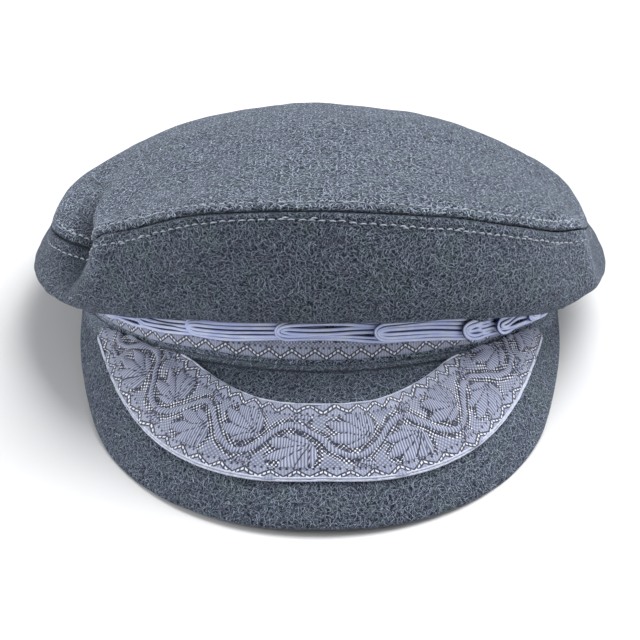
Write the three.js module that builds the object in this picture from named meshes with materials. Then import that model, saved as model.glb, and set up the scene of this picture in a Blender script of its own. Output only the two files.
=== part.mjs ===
// A skipper cap in wool felt: a slouching two-panel crown on an upright headband, a curved felt
// peak, woven ribbon round the band and on the peak, and a braid of looped cord held by a button
// at each side. Every length is in millimetres.
//
// The cap is drawn in its own frame first: the origin is in the middle of the head opening, +X is
// the right of someone who faces the cap, -Y is the front and +Z is up. A bearing is an angle
// round the cap in degrees: 0 at the front, 90 at +X, 180 at the back and -90 at -X. The last
// section sets the finished cap down on its resting plane, on the peak's rim and the band's back.
import * as THREE from "three";

// The headband, whose outer face the other pieces are measured from.
const BAND_HALF_WIDTH = 91;
const BAND_HALF_LENGTH = 98;
const BAND_WALL = 3;
const BAND_HEIGHT = 26;

// The felt of the crown, the peak's covered board, and the air between neighbouring pieces.
const FELT_WALL = 2;
const PEAK_THICKNESS = 3.4;
const GAP = 0.3;

// Height of the band's lower edge: the stiff peak pulls it down at the sides.
const BAND_EDGE = mirrored([
  { bearing: 0, up: 0.5 },
  { bearing: 26, up: 0 },
  { bearing: 42, up: -2.5 },
  { bearing: 60, up: -5.5 },
  { bearing: 75, up: -9 },
  { bearing: 105, up: -8.5 },
  { bearing: 135, up: -7 },
  { bearing: 152, up: -4.8 },
  { bearing: 180, up: -3 },
]);

// The crown's side panel at each bearing. Out is measured from the band's outer face and up from
// the frame's origin: the hem is the lowest line of the overhang, the belly its widest, and the
// seam joins it to the top panel.
const CROWN_SECTIONS = [
  { bearing: -180, hemOut: 10, hemUp: 8, bellyOut: 15, bellyUp: 18, seamOut: 9, seamUp: 27 },
  { bearing: -135, hemOut: 12, hemUp: 3, bellyOut: 19, bellyUp: 13, seamOut: 11, seamUp: 26.5 },
  { bearing: -90, hemOut: 15, hemUp: -2, bellyOut: 21, bellyUp: 6, seamOut: 12, seamUp: 25 },
  { bearing: -62, hemOut: 14, hemUp: 4, bellyOut: 20, bellyUp: 14, seamOut: 12, seamUp: 30 },
  { bearing: -43, hemOut: 12, hemUp: 12.5, bellyOut: 17, bellyUp: 24, seamOut: 11, seamUp: 48 },
  { bearing: -25, hemOut: 10, hemUp: 18.5, bellyOut: 14, bellyUp: 32, seamOut: 9, seamUp: 60 },
  { bearing: 0, hemOut: 9, hemUp: 21, bellyOut: 13, bellyUp: 36, seamOut: 8, seamUp: 64 },
  { bearing: 25, hemOut: 10, hemUp: 18.5, bellyOut: 14, bellyUp: 32, seamOut: 9, seamUp: 60 },
  { bearing: 43, hemOut: 12, hemUp: 12.5, bellyOut: 17, bellyUp: 24, seamOut: 11, seamUp: 50 },
  { bearing: 62, hemOut: 14, hemUp: 4, bellyOut: 20, bellyUp: 14, seamOut: 12, seamUp: 35 },
  { bearing: 90, hemOut: 15, hemUp: -2, bellyOut: 21, bellyUp: 6, seamOut: 12, seamUp: 25 },
  { bearing: 135, hemOut: 12, hemUp: 3, bellyOut: 19, bellyUp: 13, seamOut: 11, seamUp: 26.5 },
];

// The top panel: its crest, how full the dome is, and the roll of its edge down to the seam.
const CREST = { back: -30, up: 59.7 };
const DOME_POWER = 2;
const EDGE_ROLL = { up: 4, power: 18 };

// Folds pressed into the crown: where each runs at the seam, how far it leans from there, and its
// width and depth. Reach is how far up the top panel and down the side panel it goes, in panels.
const CROWN_FOLDS = [
  { bearing: -55, lean: 16, width: 11, depth: 9, topReach: 0.34, sideReach: 0.75 },
  { bearing: 67, lean: 10, width: 9, depth: 3.5, topReach: 0.22, sideReach: 0.5 },
  { bearing: -128, lean: 6, width: 14, depth: 3, topReach: 0.3, sideReach: 0.6 },
  { bearing: 136, lean: -8, width: 15, depth: 3, topReach: 0.3, sideReach: 0.6 },
  { bearing: 178, lean: 4, width: 18, depth: 1.5, topReach: 0.25, sideReach: 0.5 },
];

// The peak at each bearing: its length from root to rim along the felt, its fall below the level
// at the root and at the rim in degrees, and the bearing that it points in.
const PEAK_END = 82;
const PEAK_ROOT_UP = 1.5;
const PEAK_SECTIONS = mirrored([
  { bearing: 0, reach: 62.5, rootFall: 27, rimFall: 62, heading: 0 },
  { bearing: 15, reach: 61.5, rootFall: 28, rimFall: 63, heading: 7 },
  { bearing: 32, reach: 55, rootFall: 30, rimFall: 64, heading: 14 },
  { bearing: 50, reach: 42, rootFall: 34, rimFall: 64, heading: 20 },
  { bearing: 70, reach: 21.5, rootFall: 38, rimFall: 58, heading: 18 },
  { bearing: 82, reach: 6, rootFall: 40, rimFall: 50, heading: 30 },
]);

// The woven ribbon on the peak, between its inner edge's distance from the root and its outer
// edge's distance from the rim.
const PEAK_RIBBON_END = 66;
const PEAK_RIBBON_SECTIONS = mirrored([
  { bearing: 0, inner: 16, margin: 17 },
  { bearing: 22, inner: 13, margin: 16.5 },
  { bearing: 36, inner: 1.5, margin: 17.5 },
  { bearing: 50, inner: 0.8, margin: 20 },
  { bearing: 60, inner: 0.6, margin: 21 },
  { bearing: 66, inner: 0.5, margin: 22 },
]);
const RIBBON_WALL = 1;

// Pleats that gather the ribbon into its curve: where each starts, on the inner edge, how far it
// leans by the outer edge, its width and how high it stands.
const PEAK_PLEATS = [
  { bearing: -22, lean: -5, width: 3.5, lift: 0.8 },
  { bearing: 26, lean: 5, width: 3.5, lift: 0.8 },
  { bearing: -47, lean: -4, width: 4, lift: 0.6 },
  { bearing: 50, lean: 4, width: 4, lift: 0.6 },
];

// The ribbon round the band, above a strip of bare felt.
const BAND_RIBBON_UP = 4.6;
const BAND_RIBBON_WIDTH = 20;

// The braid across the front: loops of flattened cord, each drawn through the one before.
const BRAID_END = 80;
const BRAID_LOOPS = 9;
const BRAID_WIDTH = 9.5;
const BRAID_THICKNESS = 3.4;
const BRAID_SECTIONS = [
  { bearing: -80, up: -1 },
  { bearing: -60, up: 7.5 },
  { bearing: -40, up: 13.5 },
  { bearing: -20, up: 16 },
  { bearing: 0, up: 17.5 },
  { bearing: 20, up: 15 },
  { bearing: 40, up: 9.5 },
  { bearing: 60, up: 4 },
  { bearing: 80, up: -1 },
];

// The covered buttons that hold the braid's ends.
const BUTTON_BEARING = 76;
const BUTTON_RADIUS = 6;
const BUTTON_HEIGHT = 3;

// How the cap lies: tipped back on to the band's back edge, and how far the felt gives.
const REST_TILT = 10.1;
const SETTLE = 0.7;

// How finely the pieces are divided.
const ROUND_STEPS = 72;
const PEAK_STEPS = 36;
const RIBBON_STEPS = 54;
const STEPS_PER_LOOP = 7;

// A table for the right half of the cap, copied to the left.
function mirrored(rows) {
  const right = rows.filter((row) => row.bearing > 0 && row.bearing < 180);
  return [...right.reverse().map((row) => ({ ...row, bearing: -row.bearing })), ...rows];
}

// Reads one column of a table at a bearing, on a smooth curve through the rows. A table closes on
// itself round the back of the cap.
function read(table, column, bearing) {
  const count = table.length;
  const row = (i) => {
    const turn = Math.floor(i / count);
    const found = table[i - turn * count];
    return { at: found.bearing + 360 * turn, value: found[column] };
  };
  let i = 0;
  while (i < count && row(i + 1).at <= bearing) i += 1;
  while (row(i).at > bearing) i -= 1;
  const [before, from, to, after] = [row(i - 1), row(i), row(i + 1), row(i + 2)];
  const span = to.at - from.at;
  const t = (bearing - from.at) / span;
  const leave = ((to.value - before.value) / (to.at - before.at)) * span;
  const arrive = ((after.value - from.value) / (after.at - from.at)) * span;
  return (
    from.value * (1 + 2 * t) * (1 - t) ** 2 +
    leave * t * (1 - t) ** 2 +
    to.value * t * t * (3 - 2 * t) +
    arrive * t * t * (t - 1)
  );
}

const radians = THREE.MathUtils.degToRad;

// A point out from the band's outer face, square to its oval.
function besideBand(bearing, out, up) {
  const [sin, cos] = [Math.sin(radians(bearing)), Math.cos(radians(bearing))];
  const square = new THREE.Vector2(BAND_HALF_LENGTH * sin, -BAND_HALF_WIDTH * cos).normalize();
  return new THREE.Vector3(
    BAND_HALF_WIDTH * sin + out * square.x,
    -BAND_HALF_LENGTH * cos + out * square.y,
    up,
  );
}

const bandEdge = (bearing) => read(BAND_EDGE, "up", bearing);

// The outward direction of a surface, from two steps along it. The second argument of surface is
// its way across, and first x second points out.
function facing(surface, a, b, stepA, stepB) {
  const alongA = surface(a + stepA, b).sub(surface(a - stepA, b));
  const alongB = surface(a, b + stepB).sub(surface(a, b - stepB));
  return alongA.cross(alongB).normalize();
}

// Moves every vertex of a geometry to where place puts it.
function shape(geometry, place) {
  const position = geometry.getAttribute("position");
  const vertex = new THREE.Vector3();
  for (let i = 0; i < position.count; i += 1) {
    vertex.fromBufferAttribute(position, i);
    const { x, y, z } = place(vertex);
    position.setXYZ(i, x, y, z);
  }
  geometry.computeVertexNormals();
  return geometry;
}

// A closed ring round the cap: place(bearing, across, depth) with across from 0 to 1 up the ring
// and depth 0 on its inner and 1 on its outer face.
function ring(acrossSteps, place) {
  const outside = [];
  const inside = [];
  for (let i = 0; i <= acrossSteps; i += 1) {
    outside.push(new THREE.Vector2(2, i / acrossSteps));
    inside.unshift(new THREE.Vector2(1, i / acrossSteps));
  }
  const profile = [...outside, ...inside, outside[0]];
  const turned = new THREE.LatheGeometry(profile, ROUND_STEPS);
  return shape(turned, ({ x, y, z }) => {
    const bearing = THREE.MathUtils.radToDeg(Math.atan2(x, z));
    return place(bearing, y, Math.round(Math.hypot(x, z)) - 1);
  });
}

// A closed sheet: place(along, across, depth), each from 0 to 1.
function sheet(alongSteps, acrossSteps, place) {
  const flat = new THREE.BoxGeometry(1, 1, 1, alongSteps, acrossSteps, 1);
  return shape(flat, ({ x, y, z }) => place(x + 0.5, y + 0.5, z + 0.5));
}

// How deep the folds press at a bearing. Height is 0 at the seam, 1 at the crest and -1 at the
// side panel's foot.
function foldDepth(bearing, height) {
  let depth = 0;
  for (const fold of CROWN_FOLDS) {
    const reach = height > 0 ? fold.topReach : fold.sideReach;
    const fade = THREE.MathUtils.smoothstep(1 - Math.abs(height) / reach, 0, 1);
    const aside = (bearing - fold.bearing - fold.lean * height + 540) % 360 - 180;
    depth += fold.depth * fade * Math.exp(-((aside / fold.width) ** 2));
  }
  return depth;
}

const seamPoint = (bearing) =>
  besideBand(
    bearing,
    read(CROWN_SECTIONS, "seamOut", bearing),
    read(CROWN_SECTIONS, "seamUp", bearing),
  );

// Pulls a point of the crown in towards the cap's upright axis and down, where a fold presses.
function press(point, bearing, height) {
  const depth = foldDepth(bearing, height);
  const inward = new THREE.Vector3(-point.x, -point.y, 0).normalize().multiplyScalar(depth);
  return point.add(inward).add(new THREE.Vector3(0, 0, -0.35 * depth));
}

// The side panel's outer face: height 0 at the foot, on the band, and 1 at the seam.
function sidePanel(bearing, height) {
  const column = (name) => read(CROWN_SECTIONS, name, bearing);
  const foot = bandEdge(bearing) + BAND_HEIGHT + GAP;
  const profile = new THREE.SplineCurve([
    new THREE.Vector2(-0.4, foot),
    new THREE.Vector2(1.2, foot + 1.4),
    new THREE.Vector2(0.42 * column("hemOut"), foot),
    new THREE.Vector2(0.8 * column("hemOut"), 0.45 * foot + 0.55 * column("hemUp")),
    new THREE.Vector2(column("hemOut"), column("hemUp")),
    new THREE.Vector2(
      column("bellyOut") - 1,
      0.6 * column("hemUp") + 0.4 * column("bellyUp"),
    ),
    new THREE.Vector2(column("bellyOut"), column("bellyUp")),
    new THREE.Vector2(
      0.5 * (column("bellyOut") + column("seamOut")) + 0.6,
      0.45 * column("bellyUp") + 0.55 * column("seamUp"),
    ),
    new THREE.Vector2(column("seamOut"), column("seamUp")),
  ]);
  const { x: out, y: up } = profile.getPoint(THREE.MathUtils.clamp(height, 0, 1));
  return press(besideBand(bearing, out, up), bearing, height - 1);
}

// The top panel's outer face: height 0 at the seam and 1 at the crest.
function topPanel(bearing, height) {
  const seam = seamPoint(bearing);
  const out = 1 - height;
  const dome = (CREST.up - seam.z) * (1 - out ** DOME_POWER);
  const up = seam.z + dome + EDGE_ROLL.up * (1 - out ** EDGE_ROLL.power);
  const point = new THREE.Vector3(seam.x * out, CREST.back + (seam.y - CREST.back) * out, up);
  return press(point, bearing, height);
}

// The direction that both panels are thick in at the seam, so that their edges meet face to face.
function mitre(bearing) {
  const side = facing(sidePanel, bearing, 0.99, 0.5, 0.01);
  const top = facing(topPanel, bearing, 0.02, 0.5, 0.01);
  return side.add(top).normalize();
}

function crownSide() {
  return ring(15, (bearing, across, depth) => {
    const height = THREE.MathUtils.lerp(0.001, 0.997, across);
    const out = facing(sidePanel, bearing, THREE.MathUtils.clamp(height, 0.012, 0.985), 0.5, 0.01);
    const turn = THREE.MathUtils.smoothstep(height, 0.86, 1);
    out.lerp(mitre(bearing), turn).normalize();
    return sidePanel(bearing, height).addScaledVector(out, -FELT_WALL * (1 - depth));
  });
}

function crownTop() {
  const rows = 8;
  const outside = [];
  const inside = [];
  for (let i = 0; i <= rows; i += 1) {
    const out = (i / rows) ** 0.6;
    outside.unshift(new THREE.Vector2(out, 1));
    inside.push(new THREE.Vector2(out, 0));
  }
  const turned = new THREE.LatheGeometry([...inside, ...outside], ROUND_STEPS);
  const up = new THREE.Vector3(0, 0, 1);
  return shape(turned, ({ x, y, z }) => {
    const out = Math.hypot(x, z);
    const bearing = out < 1e-6 ? 0 : THREE.MathUtils.radToDeg(Math.atan2(x, z));
    const height = THREE.MathUtils.lerp(0.004, 1, 1 - out);
    const thick = out < 0.05 ? up.clone() : facing(topPanel, bearing, height, 0.5, 0.004);
    thick.lerp(mitre(bearing), THREE.MathUtils.smoothstep(out, 0.93, 1)).normalize();
    return topPanel(bearing, height).addScaledVector(thick, -FELT_WALL * (1 - y));
  });
}

function headband() {
  return ring(1, (bearing, across, depth) =>
    besideBand(bearing, -BAND_WALL * (1 - depth), bandEdge(bearing) + BAND_HEIGHT * across),
  );
}

// The peak's middle layer: across 0 at the root and 1 at the rim.
function peakMiddle(bearing, across) {
  const column = (name) => read(PEAK_SECTIONS, name, bearing);
  const rootFall = radians(column("rootFall"));
  const turn = radians(column("rimFall")) - rootFall;
  const radius = column("reach") / turn;
  const forward = radius * (Math.sin(rootFall + turn * across) - Math.sin(rootFall));
  const drop = radius * (Math.cos(rootFall) - Math.cos(rootFall + turn * across));
  const heading = radians(column("heading") * Math.sign(bearing));
  const root = besideBand(bearing, GAP, bandEdge(bearing) + PEAK_ROOT_UP - 0.5 * PEAK_THICKNESS);
  return root.add(
    new THREE.Vector3(forward * Math.sin(heading), -forward * Math.cos(heading), -drop),
  );
}

// A point above the peak's middle layer. At the root the peak's edge stands upright on the band.
function abovePeak(bearing, across, height) {
  const up = new THREE.Vector3(0, 0, 1);
  const square = facing(peakMiddle, bearing, THREE.MathUtils.clamp(across, 0.02, 0.98), 0.5, 0.01);
  up.lerp(square.negate(), THREE.MathUtils.smoothstep(across, 0, 0.12)).normalize();
  return peakMiddle(bearing, across).addScaledVector(up, height);
}

function peak() {
  return sheet(PEAK_STEPS, 10, (along, across, depth) => {
    const bearing = PEAK_END * (1 - 2 * along);
    const toRim = 1 - across ** 0.8;
    const thickness = PEAK_THICKNESS * Math.min(1, 0.55 + 6 * toRim);
    return abovePeak(bearing, 1 - toRim, thickness * (depth - 0.5));
  });
}

function peakRibbon() {
  return sheet(RIBBON_STEPS, 4, (along, across, depth) => {
    const bearing = PEAK_RIBBON_END * (1 - 2 * along);
    const column = (name) => read(PEAK_RIBBON_SECTIONS, name, bearing);
    const reach = read(PEAK_SECTIONS, "reach", bearing);
    const from = column("inner") / reach;
    const to = 1 - column("margin") / reach;
    let height = 0.5 * PEAK_THICKNESS + GAP + RIBBON_WALL * depth;
    for (const pleat of PEAK_PLEATS) {
      const aside = (bearing - pleat.bearing - pleat.lean * across) / pleat.width;
      height += pleat.lift * Math.exp(-(aside ** 2)) * (1 - 0.6 * across);
    }
    return abovePeak(bearing, THREE.MathUtils.lerp(from, to, across), height);
  });
}

function bandRibbon() {
  return ring(1, (bearing, across, depth) =>
    besideBand(
      bearing,
      GAP + RIBBON_WALL * depth,
      bandEdge(bearing) + BAND_RIBBON_UP + BAND_RIBBON_WIDTH * across,
    ),
  );
}

// The braid's own section swells where a loop's round end lies over the one before.
function braid() {
  const steps = BRAID_LOOPS * STEPS_PER_LOOP;
  return sheet(steps, 4, (along, across, depth) => {
    const bearing = BRAID_END * (2 * along - 1);
    const sinceLoop = (along * BRAID_LOOPS) % 1;
    const swell = 1 - 0.22 * Math.sin(Math.PI * sinceLoop) ** 2;
    const aside = (2 * across - 1) * swell;
    const arch = Math.sqrt(1 - 0.75 * (2 * across - 1) ** 2);
    return besideBand(
      bearing,
      2 * GAP + RIBBON_WALL + BRAID_THICKNESS * depth * arch * swell,
      read(BRAID_SECTIONS, "up", bearing) + 0.5 * BRAID_WIDTH * aside,
    );
  });
}

// A domed button over one end of the braid.
function button(bearing) {
  const profile = [
    new THREE.Vector2(0, 0),
    new THREE.Vector2(BUTTON_RADIUS, 0),
    new THREE.Vector2(BUTTON_RADIUS, 0.35 * BUTTON_HEIGHT),
    new THREE.Vector2(0.8 * BUTTON_RADIUS, 0.8 * BUTTON_HEIGHT),
    new THREE.Vector2(0.45 * BUTTON_RADIUS, 0.97 * BUTTON_HEIGHT),
    new THREE.Vector2(0, BUTTON_HEIGHT),
  ];
  const out = 3 * GAP + RIBBON_WALL + BRAID_THICKNESS;
  const up = read(BRAID_SECTIONS, "up", bearing);
  const centre = besideBand(bearing, out, up);
  const outward = besideBand(bearing, out + 1, up).sub(centre);
  const turned = new THREE.LatheGeometry(profile, 20);
  const upright = new THREE.Vector3(0, 1, 0);
  turned.applyQuaternion(new THREE.Quaternion().setFromUnitVectors(upright, outward));
  return turned.translate(centre.x, centre.y, centre.z);
}

const meshes = [
  ["crown_top", crownTop(), "felt"],
  ["crown_side", crownSide(), "felt"],
  ["headband", headband(), "felt"],
  ["peak", peak(), "felt"],
  ["peak_ribbon", peakRibbon(), "ribbon"],
  ["band_ribbon", bandRibbon(), "ribbon"],
  ["braid", braid(), "braid"],
  ["button_left", button(-BUTTON_BEARING), "felt"],
  ["button_right", button(BUTTON_BEARING), "felt"],
];

const MATERIALS = {
  felt: new THREE.MeshStandardMaterial({ color: "#56606f", roughness: 0.95 }),
  ribbon: new THREE.MeshStandardMaterial({ color: "#8a91a5", roughness: 0.6 }),
  braid: new THREE.MeshStandardMaterial({ color: "#7b84a2", roughness: 0.5 }),
};

// Sets the cap down on its resting plane: tipped until the peak's rim and the band's back edge
// are level, then pressed on to it, where the felt flattens.
const settled = new THREE.Matrix4().makeRotationX(radians(-REST_TILT));
const bounds = new THREE.Box3();
for (const [, geometry] of meshes) {
  geometry.applyMatrix4(settled);
  geometry.computeBoundingBox();
  bounds.union(geometry.boundingBox);
}
const middle = bounds.getCenter(new THREE.Vector3());

const cap = new THREE.Group();
for (const [name, geometry, material] of meshes) {
  geometry.translate(-middle.x, -middle.y, -bounds.min.z - SETTLE);
  shape(geometry, ({ x, y, z }) => ({ x, y, z: Math.max(z, 0) }));
  const mesh = new THREE.Mesh(geometry, MATERIALS[material]);
  mesh.name = name;
  cap.add(mesh);
}

export default cap;
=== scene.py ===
# %% [markdown]
# # A skipper cap in wool felt
# The soft cap of fishermen and ferry crews: a slouching crown of two felt panels on an upright
# band, a stiff curved peak, a woven ribbon with a vine on it, and a braid of looped satin cord.
# The CAD model holds every piece at its real size. This script gives the pieces their cloth:
# it loads that model as a fixed frame, and most pieces made here stand for one CAD solid each.

# %% Load the frame
import math

import bpy
import numpy as np
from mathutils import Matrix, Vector
from mathutils.kdtree import KDTree


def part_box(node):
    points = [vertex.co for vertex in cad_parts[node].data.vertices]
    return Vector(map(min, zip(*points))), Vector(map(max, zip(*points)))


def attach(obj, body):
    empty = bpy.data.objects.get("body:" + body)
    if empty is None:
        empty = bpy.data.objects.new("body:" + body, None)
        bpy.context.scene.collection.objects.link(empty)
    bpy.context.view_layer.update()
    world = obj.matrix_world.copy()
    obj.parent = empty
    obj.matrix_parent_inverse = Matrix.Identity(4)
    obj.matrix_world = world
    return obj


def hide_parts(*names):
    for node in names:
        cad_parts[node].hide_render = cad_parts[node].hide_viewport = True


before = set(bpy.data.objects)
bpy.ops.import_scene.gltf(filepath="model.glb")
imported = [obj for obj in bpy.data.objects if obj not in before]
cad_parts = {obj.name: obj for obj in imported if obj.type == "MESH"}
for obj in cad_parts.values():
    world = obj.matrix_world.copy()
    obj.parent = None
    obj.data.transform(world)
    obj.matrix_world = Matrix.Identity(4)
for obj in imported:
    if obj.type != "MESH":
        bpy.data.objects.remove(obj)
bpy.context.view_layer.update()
scene = bpy.context.scene
print("CAD nodes:", sorted(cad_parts))

# %% [markdown]
# ## Where the photographer stands
# The photo looks down on the front of the cap at about a third of a right angle, from about a
# metre away. A long lens far off would flatten the cap, and a short lens close up would swell the
# peak, so the distance is as much a part of the likeness as the angle is.

# %% Camera
LOOKED_AT = Vector((0, 0.0208, 0.0392))
LOOKING_DOWN = math.radians(31.1)
DISTANCE = 1.0
IMAGE_SIDE_PX = 640
FOCAL_PX = 2540
POINT_ABOVE_CENTRE_PX = 99
SENSOR = 36

tilt = LOOKING_DOWN + math.atan(POINT_ABOVE_CENTRE_PX / FOCAL_PX)
bpy.ops.object.camera_add(rotation=(math.pi / 2 - tilt, 0, 0))
camera = bpy.context.object
camera.location = LOOKED_AT + DISTANCE * Vector((0, -math.cos(LOOKING_DOWN), math.sin(LOOKING_DOWN)))
camera.data.sensor_width = SENSOR
camera.data.lens = SENSOR * FOCAL_PX / IMAGE_SIDE_PX
scene.camera = camera
print(f"camera {camera.data.lens:.1f} mm at {tuple(round(x, 3) for x in camera.location)}")

# %% [markdown]
# ## The sizes of the cap
# The cap is drawn upright first, in millimetres: the origin is in the middle of the head opening,
# the front is -Y and up is +Z. A bearing is an angle round the cap in degrees, 0 at the front and
# 90 at +X. Short tables say what each section is like, and a smooth curve is read through them,
# so a few rows give a whole surface. The CAD model is made from the same kind of tables. Where a
# number differs a little here, it is because a render lay beside the photo when it was chosen.

# %% Tables and the curve through them
def table(names, rows):
    """Named columns from rows of numbers."""
    return dict(zip(names.split(), np.array(rows, float).T))


def rows_of(columns):
    """The rows of such a table, each with its names."""
    return [dict(zip(columns, row)) for row in zip(*columns.values())]


def mirrored(rows):
    """Rows for the right half of the cap, copied to the left."""
    left = [(-row[0], *row[1:]) for row in reversed(rows) if 0 < row[0] < 180]
    return left + list(rows)


def read(columns, name, bearing):
    """One column at any bearings, on a smooth curve that closes on itself round the back."""
    at, value = columns["bearing"], columns[name]
    at = np.concatenate([at[-2:] - 360, at, at[:3] + 360])
    value = np.concatenate([value[-2:], value, value[:3]])
    slope = np.zeros_like(at)
    slope[1:-1] = (value[2:] - value[:-2]) / (at[2:] - at[:-2])
    i = np.clip(np.searchsorted(at, bearing, side="right") - 1, 1, len(at) - 3)
    span = at[i + 1] - at[i]
    t = (bearing - at[i]) / span
    leaving = value[i] * (1 + 2 * t) + slope[i] * span * t
    arriving = value[i + 1] * (3 - 2 * t) + slope[i + 1] * span * (t - 1)
    return leaving * (1 - t) ** 2 + arriving * t * t


def smooth(x):
    """Eases from 0 at x = 0 to 1 at x = 1."""
    x = np.clip(x, 0, 1)
    return x * x * (3 - 2 * x)


def bell(x):
    """1 at x = 0 and falling off to both sides, to next to nothing at 2."""
    return np.exp(-(x**2))


def unit(vectors):
    """The same directions, one long."""
    return vectors / np.maximum(np.linalg.norm(vectors, axis=-1, keepdims=True), 1e-9)


# %% Sizes in millimetres
BAND_HALF_WIDTH = 91
BAND_HALF_LENGTH = 98
BAND_WALL = 3
BAND_HEIGHT = 26
FELT_WALL = 2
PEAK_THICKNESS = 3.4
GAP = 0.3

BAND_EDGE = table("bearing up", mirrored([
    (0, 0.5), (26, 0), (42, -2.5), (60, -5.5), (75, -9),
    (105, -8.5), (135, -7), (152, -4.8), (180, -3),
]))

CROWN = table("bearing hem_out hem_up belly_out belly_up seam_out seam_up shoulder", [
    (-180, 10, 8, 15, 17, 11, 22, 5),
    (-135, 12, 3, 19, 12, 16, 19, 6.5),
    (-108, 13, -1, 20.5, 8, 14.5, 20, 7),
    (-90, 13, -0.5, 21, 6, 14, 20, 6.5),
    (-62, 12.5, 6.5, 20, 14, 14, 31.5, 4),
    (-43, 12, 13.0, 17, 24, 11, 47, 3),
    (-25, 10, 19.2, 14, 32, 9, 59.5, 2.8),
    (0, 9, 21.9, 13, 36.5, 8, 64.2, 2.8),
    (25, 10, 19.2, 14, 32, 9, 58.8, 2.8),
    (43, 12, 13.0, 17, 24, 11, 48.7, 3),
    (62, 12.5, 6.0, 20, 14, 13.5, 35.5, 4),
    (90, 13, -0.5, 21, 6, 14, 20, 6.5),
    (108, 13, -1, 20.5, 8, 14.5, 20, 7),
    (135, 12, 3, 19, 12, 16, 19, 6.5),
])

CREST_BACK = -30
CREST_UP = 67.3
CREST_SHARPNESS = 1.74
EDGE_POWER = 25
EDGE_ROUND = 0.7

PEAK_END = 82
PEAK_ROOT_UP = 1.5
PEAK = table("bearing reach root_fall rim_fall heading", mirrored([
    (0, 61.3, 27, 62, 0),
    (15, 60.6, 28, 63, 7),
    (32, 55, 30, 64, 14),
    (50, 42, 34, 64, 20),
    (70, 21.5, 38, 58, 18),
    (82, 6, 40, 50, 30),
]))


def beside_band(bearing, out, up):
    """A point out from the band's outer face, square to its oval, and up from the frame's origin."""
    sin, cos = np.sin(np.radians(bearing)), np.cos(np.radians(bearing))
    square = unit(np.stack([BAND_HALF_LENGTH * sin, -BAND_HALF_WIDTH * cos], -1))
    x = BAND_HALF_WIDTH * sin + out * square[..., 0]
    y = -BAND_HALF_LENGTH * cos + out * square[..., 1]
    return np.stack(np.broadcast_arrays(x, y, up), -1)


def band_edge(bearing):
    """How far up the band's lower edge is, in mm."""
    return read(BAND_EDGE, "up", bearing)


# %% [markdown]
# ## How the cap lies
# Set down on a table, the cap tips back until the peak's rim and the band's back edge both touch.
# The CAD model lies like that already. The tilt is known and the shift is worked out, by asking
# the frame where the top of the real headband is. What would reach below the table is flattened.

# %% From the upright cap to the cap as it lies
REST_TILT = math.radians(10.1)
MM = 0.001


def tipped(points):
    """Points of the upright cap, tipped back as it lies."""
    x, y, z = np.moveaxis(points, -1, 0)
    sin, cos = math.sin(REST_TILT), math.cos(REST_TILT)
    return np.stack([x, cos * y + sin * z, cos * z - sin * y], -1)


around = np.arange(-180, 180, 0.5)
band_top = tipped(beside_band(around, 0, band_edge(around) + BAND_HEIGHT)) * MM
settling = np.array(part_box("headband")[1]) - band_top.max(0)
settling[0] = 0
print("settling, in mm:", np.round(settling / MM, 2))


def lying(points):
    """Points of the upright cap in mm, as they lie in the row frame, in metres."""
    placed = tipped(points) * MM + settling
    placed[..., 2] = np.maximum(placed[..., 2], 0)
    return placed


# %% [markdown]
# ## Cloth from a flat grid
# A piece of cloth starts flat. Blender's grid primitive is a sheet of squares, and each of its
# corners is then put where the cap wants it, as when cloth is bent over a form. A ring of cloth
# is a strip whose two ends are merged. Doing it by formula keeps the squares even and lets the
# seams, stitches and ribs lie exactly on the curves that carry them.

# %% Helpers for cloth
SAME_PLACE = 2e-6
WAVES, WAVES_TOGETHER = 12, 3.5


def select(*pieces):
    """Selects these objects and nothing else, and makes the first the active one."""
    bpy.ops.object.select_all(action="DESELECT")
    for piece in pieces:
        piece.select_set(True)
    bpy.context.view_layer.objects.active = pieces[0]


def edit_all(piece, *steps):
    """Runs mesh operators on the whole of a piece in edit mode."""
    select(piece)
    bpy.ops.object.mode_set(mode="EDIT")
    bpy.ops.mesh.select_all(action="SELECT")
    for step in steps:
        step()
    bpy.ops.object.mode_set(mode="OBJECT")


def cloth(name, points, wall=0, weave=None, **notes):
    """A sheet through rows of columns of points, which is merged where two of its corners meet.

    Its wall in mm is on the inside, weave is each corner's place in the flat cloth in mm, and
    notes are numbers at the corners for its material to read.
    """
    rows, columns = points.shape[:2]
    bpy.ops.mesh.primitive_grid_add(x_subdivisions=columns - 1, y_subdivisions=rows - 1)
    piece = bpy.context.object
    piece.name = piece.data.name = name
    piece.data.vertices.foreach_set("co", lying(points).ravel())
    if weave is not None:
        corner = np.zeros(len(piece.data.loops), int)
        piece.data.loops.foreach_get("vertex_index", corner)
        piece.data.uv_layers.active.data.foreach_set("uv", weave.reshape(-1, 2)[corner].ravel())
    for note, values in notes.items():
        attribute = piece.data.attributes.new(note, "FLOAT", "POINT")
        attribute.data.foreach_set("value", values.ravel().astype(np.float32))
    bpy.ops.object.shade_smooth()
    edit_all(piece, lambda: bpy.ops.mesh.remove_doubles(threshold=SAME_PLACE))
    if wall:
        solidify = piece.modifiers.new("wall", "SOLIDIFY")
        solidify.thickness = wall * MM
        solidify.offset = -1
        bpy.ops.object.modifier_apply(modifier=solidify.name)
    return piece


def close_ends(piece):
    """Fills the open ends of a tube or of a loop round a board."""
    edit_all(
        piece,
        lambda: bpy.ops.mesh.select_all(action="DESELECT"),
        bpy.ops.mesh.select_non_manifold,
        lambda: bpy.ops.mesh.fill_holes(sides=0),
    )


def closed(points):
    """A ring's columns, with the first one again at the end."""
    return np.concatenate([points, points[:, :1]], axis=1)


def outward(points):
    """The outward direction at each point of a ring of columns."""
    along = np.roll(points, -1, 1) - np.roll(points, 1, 1)
    return unit(np.cross(along, np.gradient(points, axis=0)))


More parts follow.
